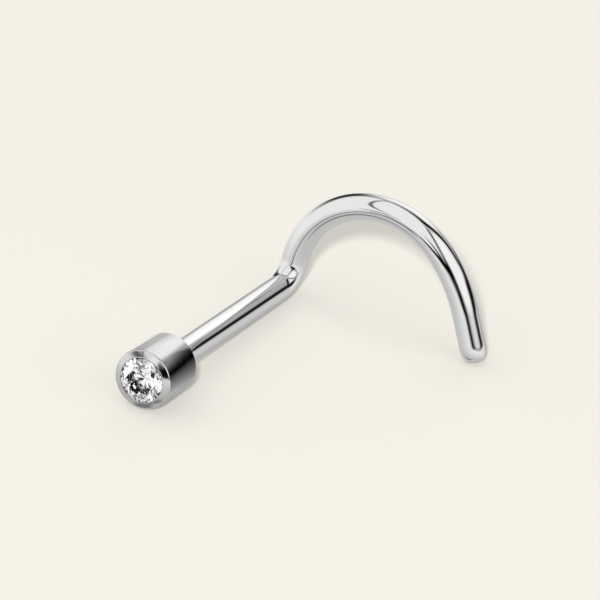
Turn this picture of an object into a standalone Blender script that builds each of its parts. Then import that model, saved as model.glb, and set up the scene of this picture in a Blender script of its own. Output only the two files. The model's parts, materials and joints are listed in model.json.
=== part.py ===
"""Nose stud: a clear brilliant in a turned bezel setting, on a post whose wire bends square into an arched hook.

The stud is modelled with its post along Y, the stone facing -Y and the hook in the plane Y = 0, rising along
+Z from the bend and arching over towards +X. An empty then lays it on the ground, on the three points that
it stands on by itself: the setting's edge, the wire under the bend and the wire's tip.
Lengths are in metres and angles in degrees.
"""

import math

import bmesh
import bpy
from mathutils import Matrix, Vector

MM = 0.001

# Wire
WIRE_DIAMETER = 0.80 * MM
POST_LENGTH = 7.25 * MM  # from the setting's back to the near side of the hook
BEND_RADIUS = 0.78 * MM  # every radius of the wire is that of its centreline
ARCH_RADIUS = 2.73 * MM
ARCH_TURN = 129.0
RUNOUT_RADIUS = 4.70 * MM
RUNOUT_TURN = 23.0
TIP_LENGTH = 1.40 * MM  # straight stretch up to the wire's end
TIP_ROUNDING_LENGTH = 0.45 * MM  # how far back from the end its rounding starts
TIP_ROUNDING_DEPTH = 0.15 * MM  # how much of the wire's radius the rounding takes

# Crystal
CRYSTAL_DIAMETER = 1.50 * MM
TABLE_SHARE = 0.57  # of the crystal's diameter
CROWN_ANGLE = 34.5
PAVILION_ANGLE = 40.75
GIRDLE_THICKNESS = 0.05 * MM
STAR_SHARE = 0.50  # how far the star facets reach from the table to the girdle
LOWER_HALF_SHARE = 0.78  # how far the lower halves reach from the girdle to the culet
FACET_FOLD = 8

# Bezel setting
SETTING_WALL = 0.14 * MM  # round the crystal's girdle
SHOULDER_ANGLE = 24.0  # slope of the front ring, from square to the post
SHOULDER_FILLET = 0.06 * MM
RIM_WIDTH = 0.03 * MM  # flat crest between the front ring and the stone, and the height of its inner edge
RIM_COVER = 0.065 * MM  # how far the rim reaches in over the stone's edge
BACK_CHAMFER = 0.05 * MM
WELL_RADIUS = 0.10 * MM  # drilled pit under the crystal's point
SOCKET_DEPTH = 0.55 * MM  # blind hole in the back, for the post's end
SOCKET_FLOOR = 0.41 * MM  # metal between the socket and the pit

# How the pieces meet
SOCKET_CLEARANCE = 0.02 * MM
STONE_CLEARANCE = 0.02 * MM

# Smoothness of the round shapes
WIRE_BEVEL_RESOLUTION = 10
ARC_STEP = 6.0
TURNED_SIDES = 48
FILLET_STEPS = 3
TIP_STEPS = 6
SHARP_ANGLE = 30.0
SETTLE_ROUNDS = 8  # the feet stop changing after two or three

WIRE_RADIUS = WIRE_DIAMETER / 2
SETTING_BACK = POST_LENGTH + WIRE_RADIUS  # from the hook's plane to the setting's flat back

CRYSTAL_RADIUS = CRYSTAL_DIAMETER / 2
TABLE_RADIUS = CRYSTAL_RADIUS * TABLE_SHARE
HALF_FACET = math.pi / FACET_FOLD
STAR_RADIUS = TABLE_RADIUS * math.cos(HALF_FACET) * (1 - STAR_SHARE) + CRYSTAL_RADIUS * STAR_SHARE
CROWN_SLOPE = math.tan(math.radians(CROWN_ANGLE))
CROWN_HEIGHT = (CRYSTAL_RADIUS - TABLE_RADIUS) * CROWN_SLOPE
STAR_HEIGHT = CROWN_HEIGHT - (STAR_RADIUS * math.cos(HALF_FACET) - TABLE_RADIUS) * CROWN_SLOPE
PAVILION_SLOPE = math.tan(math.radians(PAVILION_ANGLE))

# Heights above the setting's back
WELL_BOTTOM = SOCKET_DEPTH + SOCKET_FLOOR
CULET = WELL_BOTTOM + STONE_CLEARANCE
GIRDLE_BOTTOM = CULET + CRYSTAL_RADIUS * PAVILION_SLOPE
GIRDLE_TOP = GIRDLE_BOTTOM + GIRDLE_THICKNESS

SETTING_RADIUS = CRYSTAL_RADIUS + STONE_CLEARANCE + SETTING_WALL
OPENING_RADIUS = CRYSTAL_RADIUS - RIM_COVER


def clear_scene():
    """Removes whatever objects the file opens with."""
    for obj in list(bpy.data.objects):
        bpy.data.objects.remove(obj, do_unlink=True)


def material(name, color, metallic, roughness, transmission=0.0):
    """A Principled BSDF with the piece's colour and finish."""
    mat = bpy.data.materials.new(name)
    mat.use_nodes = True
    shader = mat.node_tree.nodes["Principled BSDF"]
    shader.inputs["Base Color"].default_value = (*color, 1.0)
    shader.inputs["Metallic"].default_value = metallic
    shader.inputs["Roughness"].default_value = roughness
    shader.inputs["Transmission Weight"].default_value = transmission
    return mat


def piece(name, data, mat, parent):
    """An object of its own, with its own material, under the empty that lays the stud down."""
    obj = bpy.data.objects.new(name, data)
    bpy.context.scene.collection.objects.link(obj)
    obj.data.materials.append(mat)
    obj.parent = parent
    return obj


def mesh_from(bm, name):
    """The mesh with its faces pointing out."""
    bmesh.ops.recalc_face_normals(bm, faces=bm.faces)
    mesh = bpy.data.meshes.new(name)
    bm.to_mesh(mesh)
    bm.free()
    return mesh


def arc(start, heading, towards, radius, turn):
    """Points after start on an arc that leaves along heading and turns towards the other direction."""
    steps = max(2, math.ceil(turn / ARC_STEP))
    centre = start + towards * radius
    points = []
    for step in range(1, steps + 1):
        angle = math.radians(turn * step / steps)
        points.append(centre - towards * radius * math.cos(angle) + heading * radius * math.sin(angle))
    end_heading = heading * math.cos(angle) + towards * math.sin(angle)
    end_towards = towards * math.cos(angle) - heading * math.sin(angle)
    return points, end_heading, end_towards


def wire_route():
    """The wire's centreline, post, bend, arch, run-out and straight tip, and its radius at each point."""
    along = Vector((0, 1, 0))
    up = Vector((0, 0, 1))
    across = Vector((1, 0, 0))
    socketed = SOCKET_DEPTH - SOCKET_CLEARANCE
    points = [Vector((0, -SETTING_BACK - socketed, 0)), Vector((0, -BEND_RADIUS, 0))]
    bend, heading, _ = arc(points[-1], along, up, BEND_RADIUS, 90.0)
    points += bend
    arch, heading, towards = arc(points[-1], heading, across, ARCH_RADIUS, ARCH_TURN)
    points += arch
    runout, heading, towards = arc(points[-1], heading, towards, RUNOUT_RADIUS, RUNOUT_TURN)
    points += runout
    points.append(points[-1] + heading * (TIP_LENGTH - TIP_ROUNDING_LENGTH))
    radii = [WIRE_RADIUS] * len(points)
    rounding_start = points[-1]
    for step in range(1, TIP_STEPS + 1):
        angle = math.pi / 2 * step / TIP_STEPS
        points.append(rounding_start + heading * TIP_ROUNDING_LENGTH * math.sin(angle))
        radii.append(WIRE_RADIUS - TIP_ROUNDING_DEPTH * (1 - math.cos(angle)))
    return points, radii


def make_wire(parent):
    """Round wire on the centreline, with the edge of its flat tip softly rounded."""
    curve = bpy.data.curves.new("hook_wire", "CURVE")
    curve.dimensions = "3D"
    curve.bevel_depth = WIRE_RADIUS
    curve.bevel_resolution = WIRE_BEVEL_RESOLUTION
    curve.use_fill_caps = True
    points, radii = wire_route()
    spline = curve.splines.new("POLY")
    spline.points.add(len(points) - 1)
    for knot, place, radius in zip(spline.points, points, radii):
        knot.co = (*place, 1.0)
        knot.radius = radius / WIRE_RADIUS
    spline.use_smooth = True
    return piece("hook_wire", curve, material("polished_steel", (0.80, 0.80, 0.79), 1.0, 0.08), parent)


def rim_height():
    """Height of the rim's crest: its inner edge stands just clear of the crown's highest line there."""
    crown_there = STAR_HEIGHT * (CRYSTAL_RADIUS - OPENING_RADIUS) / (CRYSTAL_RADIUS - STAR_RADIUS)
    return GIRDLE_TOP + crown_there + STONE_CLEARANCE + RIM_WIDTH


def front_ring():
    """Section of the setting's front: the fillet from its wall, and the sloping ring up to the rim's crest."""
    slope = math.radians(SHOULDER_ANGLE)
    crest_radius = OPENING_RADIUS + RIM_WIDTH
    centre_radius = SETTING_RADIUS - SHOULDER_FILLET
    ring_width = centre_radius + SHOULDER_FILLET * math.sin(slope) - crest_radius
    centre_height = rim_height() - ring_width * math.tan(slope) - SHOULDER_FILLET * math.cos(slope)
    section = []
    for step in range(FILLET_STEPS + 1):
        angle = (math.pi / 2 - slope) * step / FILLET_STEPS
        radius = centre_radius + SHOULDER_FILLET * math.cos(angle)
        section.append((radius, centre_height + SHOULDER_FILLET * math.sin(angle)))
    section.append((crest_radius, rim_height()))
    return section


def make_setting(parent):
    """The turned cup: its half section, spun about the post's axis."""
    socket_radius = WIRE_RADIUS + SOCKET_CLEARANCE
    seat_radius = CRYSTAL_RADIUS + STONE_CLEARANCE
    seat_edge = GIRDLE_BOTTOM - STONE_CLEARANCE
    # radius and height, from the socket's bottom round the outside to the pit's bottom
    section = [
        (0.0, SOCKET_DEPTH),
        (socket_radius, SOCKET_DEPTH),
        (socket_radius, 0.0),
        (SETTING_RADIUS - BACK_CHAMFER, 0.0),
        (SETTING_RADIUS, BACK_CHAMFER),
        *front_ring(),
        (OPENING_RADIUS, rim_height()),
        (OPENING_RADIUS, rim_height() - RIM_WIDTH),
        (seat_radius, GIRDLE_TOP + STONE_CLEARANCE),
        (seat_radius, seat_edge),
        (WELL_RADIUS, seat_edge - (seat_radius - WELL_RADIUS) * PAVILION_SLOPE),
        (WELL_RADIUS, WELL_BOTTOM),
        (0.0, WELL_BOTTOM),
    ]
    bm = bmesh.new()
    verts = [bm.verts.new((radius, -SETTING_BACK - height, 0)) for radius, height in section]
    edges = [bm.edges.new(pair) for pair in zip(verts, verts[1:])]
    bmesh.ops.spin(
        bm, geom=verts + edges, axis=(0, 1, 0), cent=(0, 0, 0), angle=2 * math.pi, steps=TURNED_SIDES, use_merge=True
    )
    bmesh.ops.remove_doubles(bm, verts=bm.verts, dist=1e-7)
    mesh = mesh_from(bm, "bezel_setting")
    mesh.shade_smooth()
    mesh.set_sharp_from_angle(angle=math.radians(SHARP_ANGLE))
    return piece("bezel_setting", mesh, material("satin_steel", (0.68, 0.68, 0.67), 1.0, 0.30), parent)


def facet_corners(radius, height, count, turned):
    """Corners on a circle about the stone's axis, turned by a share of their spacing."""
    corners = []
    for corner in range(count):
        angle = (corner + turned) * 2 * math.pi / count
        corners.append((radius * math.cos(angle), -SETTING_BACK - height, radius * math.sin(angle)))
    return corners


def make_crystal(parent):
    """A round brilliant: the hull of its facets' corners, with each flat facet one face."""
    lower_radius = CRYSTAL_RADIUS * (1 - LOWER_HALF_SHARE)
    lower_height = CULET + lower_radius * math.cos(HALF_FACET) * PAVILION_SLOPE
    corners = facet_corners(TABLE_RADIUS, GIRDLE_TOP + CROWN_HEIGHT, FACET_FOLD, 0)
    corners += facet_corners(STAR_RADIUS, GIRDLE_TOP + STAR_HEIGHT, FACET_FOLD, 0.5)
    corners += facet_corners(CRYSTAL_RADIUS, GIRDLE_TOP, 2 * FACET_FOLD, 0)
    corners += facet_corners(CRYSTAL_RADIUS, GIRDLE_BOTTOM, 2 * FACET_FOLD, 0)
    corners += facet_corners(lower_radius, lower_height, FACET_FOLD, 0.5)
    corners += facet_corners(0, CULET, 1, 0)
    bm = bmesh.new()
    for corner in corners:
        bm.verts.new(corner)
    bmesh.ops.convex_hull(bm, input=bm.verts)
    bmesh.ops.dissolve_limit(bm, angle_limit=math.radians(0.1), verts=bm.verts, edges=bm.edges)
    mesh = mesh_from(bm, "crystal")
    return piece("crystal", mesh, material("clear_crystal", (0.96, 0.97, 0.98), 0.0, 0.0, 1.0), parent)


def corners_of(obj):
    """The piece's corners as the viewport shapes it, before the empty moves it."""
    shaped = obj.evaluated_get(bpy.context.evaluated_depsgraph_get())
    mesh = shaped.to_mesh()
    corners = [vertex.co.copy() for vertex in mesh.vertices]
    shaped.to_mesh_clear()
    return corners


def lay_down(empty, setting, wire, crystal):
    """Turns the empty so that the three feet stand on Z = 0, with the origin under the middle of the box."""
    setting_corners = corners_of(setting)
    wire_corners = corners_of(wire)
    feet_groups = [
        setting_corners,
        [corner for corner in wire_corners if corner.x < ARCH_RADIUS],
        [corner for corner in wire_corners if corner.x >= ARCH_RADIUS],
    ]
    up = Vector((0, 0, 1))
    for _ in range(SETTLE_ROUNDS):
        head_foot, bend_foot, tip_foot = [min(group, key=up.dot) for group in feet_groups]
        up = (tip_foot - bend_foot).cross(bend_foot - head_foot).normalized()
    side = Vector((0, 1, 0)).cross(up).normalized()
    turn = Matrix((side, up.cross(side), up))
    laid = [turn @ corner for corner in setting_corners + wire_corners + corners_of(crystal)]
    low = Vector([min(corner[axis] for corner in laid) for axis in range(3)])
    high = Vector([max(corner[axis] for corner in laid) for axis in range(3)])
    shift = -Vector(((low.x + high.x) / 2, (low.y + high.y) / 2, low.z))
    empty.matrix_world = Matrix.Translation(shift) @ turn.to_4x4()


def main():
    clear_scene()
    stud = bpy.data.objects.new("stud", None)
    bpy.context.scene.collection.objects.link(stud)
    setting = make_setting(stud)
    wire = make_wire(stud)
    crystal = make_crystal(stud)
    bpy.context.view_layer.update()
    lay_down(stud, setting, wire, crystal)
    bpy.context.view_layer.update()


main()
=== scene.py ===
"""Nose stud with a clear brilliant, lying on a pale table in a light tent. Lengths are in metres."""

import json
import math

import bpy
from mathutils import Matrix, Vector


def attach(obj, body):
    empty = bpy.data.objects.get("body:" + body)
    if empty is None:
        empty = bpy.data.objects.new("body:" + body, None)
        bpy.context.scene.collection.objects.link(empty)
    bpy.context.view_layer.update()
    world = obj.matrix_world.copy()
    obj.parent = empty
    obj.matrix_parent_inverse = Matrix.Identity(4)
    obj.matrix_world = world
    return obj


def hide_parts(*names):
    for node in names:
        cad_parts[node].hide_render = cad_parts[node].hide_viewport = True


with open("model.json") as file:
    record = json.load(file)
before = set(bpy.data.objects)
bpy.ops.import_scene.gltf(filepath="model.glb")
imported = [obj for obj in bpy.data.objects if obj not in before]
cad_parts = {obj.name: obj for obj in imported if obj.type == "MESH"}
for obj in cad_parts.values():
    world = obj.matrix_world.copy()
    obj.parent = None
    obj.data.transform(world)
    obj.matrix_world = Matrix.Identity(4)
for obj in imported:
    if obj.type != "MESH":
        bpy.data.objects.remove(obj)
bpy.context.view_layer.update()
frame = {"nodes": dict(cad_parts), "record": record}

MM = 0.001


# Camera
# It looks down on the stone from in front and to its right, so far off that parallel edges stay parallel.
# A picture 17.6 mm wide gives the stud the size that it has in the photograph.
CAMERA_AZIMUTH = 24.19
CAMERA_ELEVATION = 28.85
CAMERA_ROLL = 8.68
CAMERA_DISTANCE = 300 * MM
CAMERA_NEAR = 3 * MM
CAMERA_FAR = 3000 * MM
PICTURE_WIDTH = 17.604 * MM
PICTURE_MIDDLE = Vector((-2.373, 4.395, -0.099)) * MM


def direction(azimuth, elevation):
    """Unit vector towards a place in the sky, in degrees. Azimuth 0 is -Y and 90 is +X."""
    turn, rise = math.radians(azimuth), math.radians(elevation)
    return Vector((math.sin(turn) * math.cos(rise), -math.cos(turn) * math.cos(rise), math.sin(rise)))


camera_data = bpy.data.cameras.new("camera")
camera_data.type = "ORTHO"
camera_data.ortho_scale = PICTURE_WIDTH
camera_data.clip_start = CAMERA_NEAR
camera_data.clip_end = CAMERA_FAR
camera = bpy.data.objects.new("camera", camera_data)
bpy.context.scene.collection.objects.link(camera)
bpy.context.scene.camera = camera
camera_back = direction(CAMERA_AZIMUTH, CAMERA_ELEVATION)
level_camera = camera_back.to_track_quat("Z", "Y").to_matrix().to_4x4()
rolled = Matrix.Rotation(math.radians(CAMERA_ROLL), 4, "Z")
camera_place = PICTURE_MIDDLE + camera_back * CAMERA_DISTANCE
camera.matrix_world = Matrix.Translation(camera_place) @ level_camera @ rolled


# Hook wire
# One length of bare steel wire, drawn through a die, bent cold round two pins and mirror-polished.
# Its straight post runs into the setting's back, and its end is rounded off so that it slides in easily.
WIRE_RADIUS = 0.40 * MM
POST_LENGTH = 7.25 * MM
POST_IN_SETTING = 0.53 * MM
BEND_RADIUS = 0.78 * MM
ARCH_RADIUS = 2.73 * MM
ARCH_TURN = math.radians(129)
RUNOUT_RADIUS = 4.70 * MM
RUNOUT_TURN = math.radians(23)
TIP_LENGTH = 1.40 * MM
TIP_ROUNDING_LENGTH = 0.45 * MM
TIP_ROUNDING_DEPTH = 0.15 * MM
TIP_RINGS = 16
WIRE_SIDES = 72
WIRE_STEP = 0.06 * MM  # between the mesh's rings
HOOK_LEAN = math.radians(4.18)  # the hook's turn about the post, which puts bend and tip on the table
MOUNT_HEIGHT = 0.64 * MM  # of the record's mount over the post's axis

mount = frame["record"]["mounts"][0]
post_way = Vector(mount["axis"]).normalized()
mount_rise = Vector((1, 0, 0)).cross(post_way)
hook_across = Vector((1, 0, 0)) * math.cos(HOOK_LEAN) - mount_rise * math.sin(HOOK_LEAN)
back_centre = Vector(mount["pos_m"]) - mount_rise * MOUNT_HEIGHT
bend_corner = back_centre + post_way * (POST_LENGTH + WIRE_RADIUS)
# The stud's own frame: the post along Y, the hook in the plane Y = 0, the origin where their lines meet.
stud_axes = Matrix((hook_across, post_way, hook_across.cross(post_way))).transposed()
stud_frame = Matrix.Translation(bend_corner) @ stud_axes.to_4x4()


def stretch(pose, length, bend=None):
    """Poses along a stretch of wire that heads along the pose's Y. A bend has a centre and an axis."""
    steps = math.ceil(length / WIRE_STEP)
    poses = []
    for step in range(1, steps + 1):
        if bend:
            centre, axis = bend
            turned = Matrix.Rotation(length / centre.length * step / steps, 4, axis)
            poses.append(pose @ Matrix.Translation(centre) @ turned @ Matrix.Translation(-centre))
        else:
            poses.append(pose @ Matrix.Translation((0, length * step / steps, 0)))
    return poses


def laid_piece(name, places, faces, own_places):
    """A smooth mesh laid down with the stud. 'own' keeps its places before that, in mm, for the material."""
    mesh = bpy.data.meshes.new(name)
    mesh.from_pydata([stud_frame @ place for place in places], [], faces)
    mesh.shade_smooth()
    own = mesh.attributes.new("own", "FLOAT_VECTOR", "POINT")
    for corner, place in zip(own.data, own_places):
        corner.vector = place / MM
    piece = bpy.data.objects.new(name, mesh)
    bpy.context.scene.collection.objects.link(piece)
    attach(piece, "root")
    return piece


def ring_faces(rings, sides):
    """The quads between one ring of corners and the next."""
    faces = []
    for ring in range(rings - 1):
        for side in range(sides):
            here = ring * sides + side
            there = ring * sides + (side + 1) % sides
            faces.append((here, here + sides, there + sides, there))
    return faces


post_start = Matrix.Translation((0, -POST_LENGTH - WIRE_RADIUS - POST_IN_SETTING, 0))
poses = [post_start]
poses += stretch(poses[-1], POST_LENGTH + WIRE_RADIUS + POST_IN_SETTING - BEND_RADIUS)
poses += stretch(poses[-1], BEND_RADIUS * math.pi / 2, (Vector((0, 0, BEND_RADIUS)), "X"))
poses += stretch(poses[-1], ARCH_RADIUS * ARCH_TURN, (Vector((ARCH_RADIUS, 0, 0)), Vector((0, 0, -1))))
poses += stretch(poses[-1], RUNOUT_RADIUS * RUNOUT_TURN, (Vector((RUNOUT_RADIUS, 0, 0)), Vector((0, 0, -1))))
poses += stretch(poses[-1], TIP_LENGTH - TIP_ROUNDING_LENGTH)
radii = [WIRE_RADIUS] * len(poses)
rounding_start = poses[-1]
for ring in range(1, TIP_RINGS + 1):
    angle = math.pi / 2 * ring / TIP_RINGS
    poses.append(rounding_start @ Matrix.Translation((0, TIP_ROUNDING_LENGTH * math.sin(angle), 0)))
    radii.append(WIRE_RADIUS - TIP_ROUNDING_DEPTH * (1 - math.cos(angle)))

wire_places, wire_unbent = [], []
along = 0.0
for index, (pose, radius) in enumerate(zip(poses, radii)):
    along += (pose.translation - poses[max(index - 1, 0)].translation).length
    for side in range(WIRE_SIDES):
        angle = 2 * math.pi * side / WIRE_SIDES
        rim = Vector((radius * math.cos(angle), 0, radius * math.sin(angle)))
        wire_places.append(pose @ rim)
        wire_unbent.append(rim + Vector((0, along, 0)))
wire_faces = ring_faces(len(poses), WIRE_SIDES)
last_ring = (len(poses) - 1) * WIRE_SIDES
wire_faces.append(tuple(range(WIRE_SIDES)))
wire_faces.append(tuple(reversed(range(last_ring, last_ring + WIRE_SIDES))))
hook_wire = laid_piece("polished_hook_wire", wire_places, wire_faces, wire_unbent)
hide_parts("hook_wire")


def add(tree, kind, inputs=None, **settings):
    """A node with its settings, and inputs that are values or other nodes' outputs."""
    node = tree.nodes.new("ShaderNode" + kind)
    for name, value in settings.items():
        setattr(node, name, value)
    enabled = {socket.name: socket for socket in node.inputs if socket.enabled}
    for name, value in (inputs or {}).items():
        socket = node.inputs[name] if isinstance(name, int) else enabled[name]
        if isinstance(value, bpy.types.NodeSocket):
            tree.links.new(value, socket)
        else:
            socket.default_value = value
    return node


def output(node):
    """The node's first output in use."""
    return next(socket for socket in node.outputs if socket.enabled)


def maths(tree, operation, *values):
    """The output of a Math node on two or three values or outputs."""
    return add(tree, "Math", dict(enumerate(values)), operation=operation).outputs[0]


def noise(tree, vector, scale, detail):
    """A smooth random value that changes about as many times a millimetre as the scale says for each axis."""
    stretched = add(tree, "VectorMath", {0: vector, 1: scale}, operation="MULTIPLY").outputs[0]
    settings = {"Vector": stretched, "Scale": 1.0, "Detail": detail, "Roughness": 0.5}
    return output(add(tree, "TexNoise", settings))


def remap(tree, value, low, high, to_low, to_high):
    """A value spread from one range to another and kept within it."""
    ranges = {"Value": value, "From Min": low, "From Max": high, "To Min": to_low, "To Max": to_high}
    return add(tree, "MapRange", ranges).outputs["Result"]


def new_material(name):
    """A material, its node tree and its Principled BSDF."""
    material = bpy.data.materials.new(name)
    material.use_nodes = True
    return material, material.node_tree, material.node_tree.nodes["Principled BSDF"]


def own_place(tree):
    """The place on a laid piece as it was before it was laid down, in mm."""
    return add(tree, "Attribute", attribute_name="own").outputs["Vector"]


def effect(name, inputs, outputs):
    """An empty node group with named sockets, what it is given and where its results go."""
    group = bpy.data.node_groups.new(name, "ShaderNodeTree")
    for sockets, in_out in ((inputs, "INPUT"), (outputs, "OUTPUT")):
        for socket, kind in sockets.items():
            group.interface.new_socket(socket, in_out=in_out, socket_type="NodeSocket" + kind)
    return group, group.nodes.new("NodeGroupInput").outputs, group.nodes.new("NodeGroupOutput").inputs


# Worked metal has fine lines from the tool, and patches where it is a little duller.
LINE_DETAIL = 3.0
worked_metal, given, result = effect(
    "worked_metal",
    {
        "Line Place": "Vector",
        "Lines": "Vector",
        "Patch Place": "Vector",
        "Patches": "Vector",
        "Patch Detail": "Float",
        "Patch Low": "Float",
        "Patch High": "Float",
        "Clearest": "Float",
        "Dullest": "Float",
    },
    {"Line Height": "Float", "Roughness": "Float"},
)
tool_lines = noise(worked_metal, given["Line Place"], given["Lines"], LINE_DETAIL)
patches = noise(worked_metal, given["Patch Place"], given["Patches"], given["Patch Detail"])
dulled = remap(
    worked_metal, patches, given["Patch Low"], given["Patch High"], given["Clearest"], given["Dullest"]
)
worked_metal.links.new(tool_lines, result["Line Height"])
worked_metal.links.new(dulled, result["Roughness"])

STEEL_GREY = (0.62, 0.62, 0.617, 1)
DRAWN_LINES = (60, 0.8, 60)  # to a millimetre, and long along the wire
DRAWN_LINE_STRENGTH = 0.12
DRAWN_LINE_DEPTH = 0.0004 * MM
WAVES = (1.2, 0.7, 1.2)
WAVE_DETAIL = 1.0
WAVE_STRENGTH = 0.15
WAVE_DEPTH = 0.02 * MM

polish, tree, shader = new_material("mirror_polished_steel_wire")
unbent = own_place(tree)
shader.inputs["Metallic"].default_value = 1.0
shader.inputs["Base Color"].default_value = STEEL_GREY
handled_wire = {
    "Line Place": unbent,
    "Lines": DRAWN_LINES,
    "Patch Place": unbent,
    "Patches": (3, 3, 3),
    "Patch Detail": 4.0,
    "Patch Low": 0.45,
    "Patch High": 0.75,
    "Clearest": 0.035,
    "Dullest": 0.09,
}
surface = add(tree, "Group", handled_wire, node_tree=worked_metal).outputs
tree.links.new(surface["Roughness"], shader.inputs["Roughness"])
waviness = noise(tree, unbent, WAVES, WAVE_DETAIL)
wave_bump = add(tree, "Bump", {"Height": waviness, "Strength": WAVE_STRENGTH, "Distance": WAVE_DEPTH})
drawn = {"Height": surface["Line Height"], "Strength": DRAWN_LINE_STRENGTH, "Distance": DRAWN_LINE_DEPTH}
line_bump = add(tree, "Bump", {**drawn, "Normal": wave_bump.outputs[0]})
tree.links.new(line_bump.outputs[0], shader.inputs["Normal"])
hook_wire.data.materials.append(polish)


# Bezel setting
# A cup turned from steel bar, with a satin finish whose fine lines run round the post's axis.
# Its front ring slopes up to a thin rim, pressed over the stone's edge. Its flat back takes the post.
SETTING_RADIUS = 0.91 * MM
SETTING_BACK = POST_LENGTH + WIRE_RADIUS
BACK_CHAMFER = 0.05 * MM
SOCKET_RADIUS = 0.42 * MM
SOCKET_DEPTH = 0.55 * MM
SHOULDER_SLOPE = math.radians(24)
SHOULDER_FILLET = 0.06 * MM
RIM_HEIGHT = 1.782 * MM
RIM_WIDTH = 0.03 * MM
OPENING_RADIUS = 0.685 * MM
SEAT_RADIUS = 0.77 * MM
SEAT_TOP = 1.696 * MM
SEAT_EDGE = 1.606 * MM
SEAT_BOTTOM = (0.10 * MM, 1.030 * MM)
WELL_BOTTOM = 0.96 * MM
EDGE_ROUNDING = 0.012 * MM
ROUNDING_STEPS = 4
TURNED_SIDES = 192

crest_radius = OPENING_RADIUS + RIM_WIDTH
fillet_radius = SETTING_RADIUS - SHOULDER_FILLET
ring_width = fillet_radius + SHOULDER_FILLET * math.sin(SHOULDER_SLOPE) - crest_radius
ring_drop = ring_width * math.tan(SHOULDER_SLOPE)
fillet_height = RIM_HEIGHT - ring_drop - SHOULDER_FILLET * math.cos(SHOULDER_SLOPE)
shoulder_corner = fillet_height + SHOULDER_FILLET * (1 - math.sin(SHOULDER_SLOPE)) / math.cos(SHOULDER_SLOPE)
# Corners of the half section, as radius and height above the back, and how far each is rounded.
corners = [
    (0.0, SOCKET_DEPTH, 0.0),
    (SOCKET_RADIUS, SOCKET_DEPTH, EDGE_ROUNDING),
    (SOCKET_RADIUS, 0.0, EDGE_ROUNDING),
    (SETTING_RADIUS - BACK_CHAMFER, 0.0, EDGE_ROUNDING),
    (SETTING_RADIUS, BACK_CHAMFER, EDGE_ROUNDING),
    (SETTING_RADIUS, shoulder_corner, SHOULDER_FILLET * math.tan(math.pi / 4 - SHOULDER_SLOPE / 2)),
    (crest_radius, RIM_HEIGHT, EDGE_ROUNDING),
    (OPENING_RADIUS, RIM_HEIGHT, EDGE_ROUNDING),
    (OPENING_RADIUS, RIM_HEIGHT - RIM_WIDTH, EDGE_ROUNDING / 2),
    (SEAT_RADIUS, SEAT_TOP, EDGE_ROUNDING),
    (SEAT_RADIUS, SEAT_EDGE, EDGE_ROUNDING),
    (*SEAT_BOTTOM, EDGE_ROUNDING),
    (SEAT_BOTTOM[0], WELL_BOTTOM, EDGE_ROUNDING),
    (0.0, WELL_BOTTOM, 0.0),
]


def rounded(corners):
    """The half section with each corner turned into a small curve."""
    section = []
    for index, (radius, height, reach) in enumerate(corners):
        here = Vector((radius, height))
        if not reach:
            section.append(here)
            continue
        before = (Vector(corners[index - 1][:2]) - here).normalized() * reach
        after = (Vector(corners[index + 1][:2]) - here).normalized() * reach
        for step in range(ROUNDING_STEPS + 1):
            share = step / ROUNDING_STEPS
            section.append(here + before * (1 - share) ** 2 + after * share**2)
    return section


section = rounded(corners)
setting_places = []
for point in section:
    for side in range(TURNED_SIDES):
        angle = 2 * math.pi * side / TURNED_SIDES
        across = Vector((math.cos(angle), 0, math.sin(angle))) * point.x
        setting_places.append(across - Vector((0, SETTING_BACK + point.y, 0)))
setting_faces = ring_faces(len(section), TURNED_SIDES)
bezel_setting = laid_piece(
    "turned_bezel_setting", setting_places, setting_faces, setting_places
)
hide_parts("bezel_setting")

SEAT_MIDDLE = -(SETTING_BACK + (WELL_BOTTOM + SEAT_TOP) / 2) / MM
SEAT_HALF = ((SEAT_TOP - WELL_BOTTOM) / 2 + EDGE_ROUNDING) / MM
SEAT_REACH = (SEAT_RADIUS + 2 * EDGE_ROUNDING) / MM
SATIN_GREY = (0.52, 0.52, 0.517, 1)
# Painted shade: the near-black that the seat under the stone is painted.
SEAT_PAINTED_SHADE = (0.03, 0.03, 0.03, 1)
TURNED_LINES = (70, 70, 0)  # to a millimetre of radius and of height, and none round the axis
TURNED_LINE_STRENGTH = 0.4
TURNED_LINE_DEPTH = 0.001 * MM

satin, tree, shader = new_material("satin_turned_steel")
place = own_place(tree)
shader.inputs["Metallic"].default_value = 1.0
# The lines run round, so the shine spreads across them.
shader.inputs["Anisotropic"].default_value = 0.6
shader.inputs["Anisotropic Rotation"].default_value = 0.25
tangent = add(tree, "Tangent", direction_type="RADIAL", axis="Y")
tree.links.new(tangent.outputs[0], shader.inputs["Tangent"])
own = add(tree, "SeparateXYZ", {"Vector": place}).outputs
squares = [maths(tree, "POWER", own[axis], 2.0) for axis in ("X", "Z")]
from_axis = maths(tree, "SQRT", maths(tree, "ADD", *squares))
# The seat under the stone is painted nearly black, as painted shade for the hollow under the stone, so what
# light gets out of the stone's back is lost there.
painted_seat_shade = maths(
    tree,
    "MULTIPLY",
    maths(tree, "LESS_THAN", from_axis, SEAT_REACH),
    maths(tree, "COMPARE", own["Y"], SEAT_MIDDLE, SEAT_HALF),
)
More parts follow.
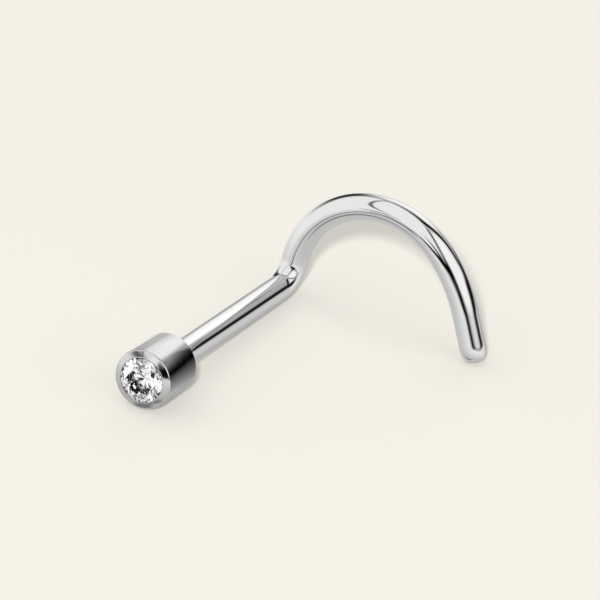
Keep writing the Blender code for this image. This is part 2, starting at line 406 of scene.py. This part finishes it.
# The satin grey, with the painted shade in the seat under the stone.
satin_with_seat_shade = add(tree, "Mix", {"Factor": painted_seat_shade, "A": SATIN_GREY, "B": SEAT_PAINTED_SHADE}, data_type="RGBA")
tree.links.new(output(satin_with_seat_shade), shader.inputs["Base Color"])
turned_cup = {
    "Line Place": add(tree, "CombineXYZ", {"X": from_axis, "Y": own["Y"]}).outputs[0],
    "Lines": TURNED_LINES,
    "Patch Place": place,
    "Patches": (4, 4, 4),
    "Patch Detail": 3.0,
    "Patch Low": 0.35,
    "Patch High": 0.7,
    "Clearest": 0.10,
    "Dullest": 0.16,
}
surface = add(tree, "Group", turned_cup, node_tree=worked_metal).outputs
tree.links.new(surface["Roughness"], shader.inputs["Roughness"])
turned = {"Height": surface["Line Height"], "Strength": TURNED_LINE_STRENGTH, "Distance": TURNED_LINE_DEPTH}
tree.links.new(add(tree, "Bump", turned).outputs[0], shader.inputs["Normal"])
bezel_setting.data.materials.append(satin)


# Crystal
# A round brilliant of clear crystal: a table, 32 crown facets and 24 pavilion facets, all polished flat.
# It is held by the rim over its edge, and its point hangs in the seat.
CRYSTAL_IOR = 2.4
CRYSTAL_GLINT = 0.15
BOUNCES = 12  # the light is thrown about many times inside the stone

crystal = frame["nodes"]["crystal"]
clear, _, shader = new_material("clear_cut_crystal")
shader.inputs["Base Color"].default_value = (1, 1, 1, 1)
shader.inputs["Roughness"].default_value = 0.0
shader.inputs["IOR"].default_value = CRYSTAL_IOR
shader.inputs["Specular IOR Level"].default_value = CRYSTAL_GLINT
shader.inputs["Transmission Weight"].default_value = 1.0
crystal.data.materials.clear()
crystal.data.materials.append(clear)
bpy.context.scene.cycles.glossy_bounces = BOUNCES


# Floor
# A plain pale table top of frosted acrylic, much larger than the stud and lit a little from below.
# It lies under the stud's three feet, and neither the metal nor the stone mirrors it.
FLOOR_HALF = 250 * MM
TABLE_PALE = (0.40, 0.386, 0.353, 1)
TABLE_GLOW = (1.0, 0.963, 0.883, 1)
GLOW_STRENGTH = 0.195


def stage_sheet(name, corners):
    """A flat four-cornered sheet that belongs to the studio."""
    mesh = bpy.data.meshes.new(name)
    mesh.from_pydata(corners, [], [(0, 1, 2, 3)])
    sheet = bpy.data.objects.new(name, mesh)
    bpy.context.scene.collection.objects.link(sheet)
    return sheet


SHEET_CORNERS = ((-1, -1), (1, -1), (1, 1), (-1, 1))
floor = stage_sheet("floor", [(x * FLOOR_HALF, y * FLOOR_HALF, 0) for x, y in SHEET_CORNERS])
floor.visible_glossy = False
floor.visible_transmission = False
table_top, _, shader = new_material("pale_table_top")
shader.inputs["Base Color"].default_value = TABLE_PALE
shader.inputs["Emission Color"].default_value = TABLE_GLOW
shader.inputs["Emission Strength"].default_value = GLOW_STRENGTH
shader.inputs["Roughness"].default_value = 1.0
shader.inputs["Specular IOR Level"].default_value = 0.0
floor.data.materials.append(table_top)


# Light tent
# A pale tent all round the stud, with brighter windows and dark cards that draw the lines in the metal.
# It darkens towards its foot. The camera sees the plain backdrop in its place.
STEEL_SHINE = STEEL_GREY[0]  # the steel's share of the light, so a card's level is how bright it looks in it
TENT_FOOT = (-45, 0.50)  # elevation and level
TENT_TOP = (15, 0.87)
TENT_WHITE = (1.0, 1.0, 0.995, 1)
BACKDROP = (0.90, 0.865, 0.79, 1)

world = bpy.data.worlds.new("light_tent")
bpy.context.scene.world = world
world.use_nodes = True
tent = world.node_tree
card, given, result = effect(
    "card",
    {
        "Direction": "Vector",
        "Facing": "Vector",
        "Across": "Vector",
        "Upward": "Vector",
        "Half Width": "Float",
        "Half Height": "Float",
        "Squareness": "Float",
        "Softness": "Float",
    },
    {"Mask": "Float"},
)
GRAZING = 0.02  # a card is left out at its back and where it is seen almost on edge
FAR_OUT = 4.0  # keeps the powers small far outside a card
facing = add(card, "VectorMath", {0: given["Direction"], 1: given["Facing"]}, operation="DOT_PRODUCT")
depth = facing.outputs["Value"]
powers = []
for axis, half in (("Across", "Half Width"), ("Upward", "Half Height")):
    reach = add(card, "VectorMath", {0: given["Direction"], 1: given[axis]}, operation="DOT_PRODUCT")
    offset = maths(card, "ABSOLUTE", maths(card, "DIVIDE", reach.outputs["Value"], depth))
    share = maths(card, "MINIMUM", maths(card, "DIVIDE", offset, given[half]), FAR_OUT)
    powers.append(maths(card, "POWER", share, given["Squareness"]))
# From 0 in the card's middle to 1 at its edge: round at a squareness of 2, and square above about 8.
inverse = maths(card, "DIVIDE", 1.0, given["Squareness"])
outward = maths(card, "POWER", maths(card, "ADD", *powers), inverse)
half_soft = maths(card, "MULTIPLY", given["Softness"], 0.5)
edge = {
    "Value": outward,
    "From Min": maths(card, "ADD", 1.0, half_soft),
    "From Max": maths(card, "SUBTRACT", 1.0, half_soft),
}
inside = add(card, "MapRange", edge, interpolation_type="SMOOTHSTEP").outputs["Result"]
in_front = maths(card, "GREATER_THAN", depth, GRAZING)
card.links.new(maths(card, "MULTIPLY", in_front, inside), result["Mask"])

looking = add(tent, "TexCoord").outputs["Generated"]
height = add(tent, "SeparateXYZ", {"Vector": looking}).outputs["Z"]
foot_to_top = {
    "Value": maths(tent, "DEGREES", maths(tent, "ARCSINE", height)),
    "From Min": TENT_FOOT[0],
    "From Max": TENT_TOP[0],
    "To Min": TENT_FOOT[1],
    "To Max": TENT_TOP[1],
}
level = add(tent, "MapRange", foot_to_top, interpolation_type="SMOOTHSTEP").outputs["Result"]


def hang_card(level, azimuth, elevation, roll, half_width, half_height, squareness, brightness, softness):
    """Lays a card over what the tent has so far. Angles are in degrees, as seen from the stud."""
    facing = direction(azimuth, elevation)
    across = Vector((-facing.y, facing.x, 0)).normalized()
    upward = facing.cross(across)
    turn = math.radians(roll)
    hung = {
        "Direction": looking,
        "Facing": facing,
        "Across": across * math.cos(turn) + upward * math.sin(turn),
        "Upward": upward * math.cos(turn) - across * math.sin(turn),
        "Half Width": math.tan(math.radians(half_width)),
        "Half Height": math.tan(math.radians(half_height)),
        "Squareness": squareness,
        "Softness": softness,
    }
    mask = add(tent, "Group", hung, node_tree=card).outputs["Mask"]
    return output(add(tent, "Mix", {"Factor": mask, "A": level, "B": brightness}, data_type="FLOAT"))


# azimuth, elevation, roll, half width, half height, squareness, brightness, softness
CARDS = (
    ("dusk at the back", -95, 40, 31, 70, 28, 1.2, 0.10, 1.2),
    ("grey corner at the back", -156, 2, 0, 14, 10, 2, 0.50, 0.8),
    ("dark corner at the back", -135, 10, -23, 10, 16, 2, 0.02, 1.0),
    ("grey behind the right", 163, 2, 28, 20, 68, 8, 0.38, 1.2),
    ("black round the left sheet", 5, 62, -97, 59, 56, 14, 0.00, 0.9),
    ("left sheet", -45, 41, -52, 55, 55, 3.5, 0.80, 0.5),
    ("fold in the left sheet", -55, 47, -43, 62, 1.7, 8, 0.16, 1.2),
    ("black under the window", 96, 13, -1, 77, 12.5, 14, 0.01, 0.9),
    ("window", 79, 39, 33, 38, 34, 1.6, 0.88, 0.8),
    ("black strip at the front", 8, 8, 33, 29, 2.6, 14, 0.00, 1.0),
    ("black wedge at the front", 12, 15, -50, 11, 5, 2, 0.00, 1.0),
    ("black strip over the window", 145, 44, 92, 31, 8, 4, 0.01, 0.1),
    ("seam beside the window", 41, 51, 67, 25, 4.2, 7, 0.18, 0.13),
    ("white over the head", 182, 30, -25, 15, 7, 2, 0.98, 1.0),
    ("shade on the floor in front", -14, -53, 0, 26, 5.5, 2, 0.20, 0.9),
    ("shade on the floor behind", -170, -38, 0, 14, 9, 2, 0.33, 1.2),
)
for name, *values in CARDS:
    level = hang_card(level, *values)

background = tent.nodes["Background"]
background.inputs["Color"].default_value = TENT_WHITE
tent.links.new(maths(tent, "DIVIDE", level, STEEL_SHINE), background.inputs["Strength"])
backdrop = add(tent, "Background", {"Color": BACKDROP, "Strength": 1.0})
seen = add(tent, "LightPath").outputs["Is Camera Ray"]
shown = add(tent, "MixShader", {0: seen, 1: background.outputs[0], 2: backdrop.outputs[0]})
tent.links.new(shown.outputs[0], tent.nodes["World Output"].inputs["Surface"])


# Cards close to the head
# Seven small cards stand one to three millimetres from the head, which mirrors them where the wire doesn't.
# They show only in reflections and from their fronts. The tallest and the lowest go below the table top.
soft_edge, given, result = effect("soft_edge", {"Place": "Vector", "Softness": "Float"}, {"Mask": "Float"})
place = add(soft_edge, "SeparateXYZ", {"Vector": given["Place"]}).outputs
full_from = maths(soft_edge, "SUBTRACT", 1.0, given["Softness"])
fades = []
for axis in ("X", "Z"):
    from_middle = maths(soft_edge, "ABSOLUTE", maths(soft_edge, "MULTIPLY_ADD", place[axis], 2.0, -1.0))
    fades.append(remap(soft_edge, from_middle, 1.0, full_from, 0.0, 1.0))
soft_edge.links.new(maths(soft_edge, "MULTIPLY", *fades), result["Mask"])


def near_card(name, start, azimuth, elevation, distance, half_width, half_height):
    """Stands a card square to a ray from a place on the head, in mm, and returns its unpainted node tree."""
    way = direction(azimuth, elevation)
    across = way.cross(Vector((0, 0, 1))).normalized() * half_width * MM
    upward = across.cross(way).normalized() * half_height * MM
    middle = (Vector(start) + way * distance) * MM
    sheet = stage_sheet(name, [middle + across * side + upward * top for side, top in SHEET_CORNERS])
    sheet.visible_camera = False
    sheet.visible_diffuse = False
    sheet.visible_transmission = False
    sheet.visible_shadow = False
    paint, tree, shader = new_material(name)
    tree.nodes.remove(shader)
    sheet.data.materials.append(paint)
    return tree


def paint_card(tree, level, softness):
    """Lights the card's front to a level, fades its edges out and leaves its back clear."""
    spread = {"Place": add(tree, "TexCoord").outputs["Generated"], "Softness": softness}
    inside = add(tree, "Group", spread, node_tree=soft_edge).outputs["Mask"]
    front = maths(tree, "SUBTRACT", 1.0, add(tree, "NewGeometry").outputs["Backfacing"])
    clear_back = add(tree, "BsdfTransparent").outputs[0]
    glow = add(tree, "Emission", {"Strength": maths(tree, "DIVIDE", level, STEEL_SHINE)}).outputs[0]
    painted = add(tree, "MixShader", {0: maths(tree, "MULTIPLY", inside, front), 1: clear_back, 2: glow})
    tree.links.new(painted.outputs[0], tree.nodes["Material Output"].inputs["Surface"])


# The card to the right of the head is black in a band, grey below it, and rises to white above it.
# It is placed with the same values as the cards in the table below.
BLACK_BAND = (1.5 * MM, 1.75 * MM)
WHITE_FROM = 3.9 * MM
WHITE_LEVEL = 0.65
GREY_FROM = -1.6 * MM
GREY_LEVEL = 0.45
GRADED_SOFTNESS = 0.1
tree = near_card("graded_card", (-1.75, -4.68, 0), 150, 0, 3, 1.65, 3.6)
height = add(tree, "SeparateXYZ", {"Vector": add(tree, "NewGeometry").outputs["Position"]}).outputs["Z"]
above = maths(tree, "POWER", remap(tree, height, BLACK_BAND[1], WHITE_FROM, 0.0, 1.0), 2.0)
below = remap(tree, height, BLACK_BAND[0], GREY_FROM, 0.0, GREY_LEVEL)
paint_card(tree, maths(tree, "MULTIPLY_ADD", above, WHITE_LEVEL, below), GRADED_SOFTNESS)

# Most of the others darken the ring and the wall. The flag stands where the stone's table would mirror the
# tent, so that the cut shows through it.
# name, place on the head, azimuth, elevation, distance, half width, half height, level, softness
NEAR_CARDS = (
    ("black_card", (-2.19, -4.90, 1.50), 18, 7, 3, 0.9, 0.75, 0.0, 0.3),
    ("grey_card", (-3.12, -4.90, 1.75), -41, 18, 3, 1.6, 0.85, 0.08, 0.8),
    ("white_card", (-2.68, -4.90, 1.80), -1, 24, 3, 0.65, 0.45, 0.95, 0.4),
    ("back_card", (-3.50, -4.00, 1.75), -150, 8, 3, 1.9, 1.2, 0.50, 0.9),
    ("low_card", (-2.65, -4.90, 0.25), -28, -64, 1, 0.6, 0.35, 0.20, 0.6),
    ("glare_flag", (-2.83, -5.09, 1.06), -22.6, -21, 1, 0.5, 0.5, 0.02, 0.1),
)
for name, *place_and_size, level, softness in NEAR_CARDS:
    paint_card(near_card(name, *place_and_size), level, softness)


# Lamps
# A large weak lamp on the left softens the shadow. A smaller one behind the camera, to its left, lays the
# shade that shows inside the hook. The metal and the stone don't mirror either.
# name, azimuth, elevation, width, power
LAMPS = (
    ("left_lamp", -110, 52, 500 * MM, 1.0),
    ("shoulder_lamp", 19.5, 33.2, 80 * MM, 13.0),
)
LAMP_DISTANCE = 1000 * MM
for name, azimuth, elevation, width, power in LAMPS:
    lamp_data = bpy.data.lights.new(name, "AREA")
    lamp_data.shape = "DISK"
    lamp_data.size = width
    lamp_data.energy = power
    lamp = bpy.data.objects.new(name, lamp_data)
    bpy.context.scene.collection.objects.link(lamp)
    lamp_way = direction(azimuth, elevation)
    aimed = lamp_way.to_track_quat("Z", "Y").to_matrix().to_4x4()
    lamp.matrix_world = Matrix.Translation(lamp_way * LAMP_DISTANCE) @ aimed
    lamp.visible_camera = False
    lamp.visible_glossy = False
    lamp.visible_transmission = False
bpy.context.scene.view_settings.view_transform = "Standard"
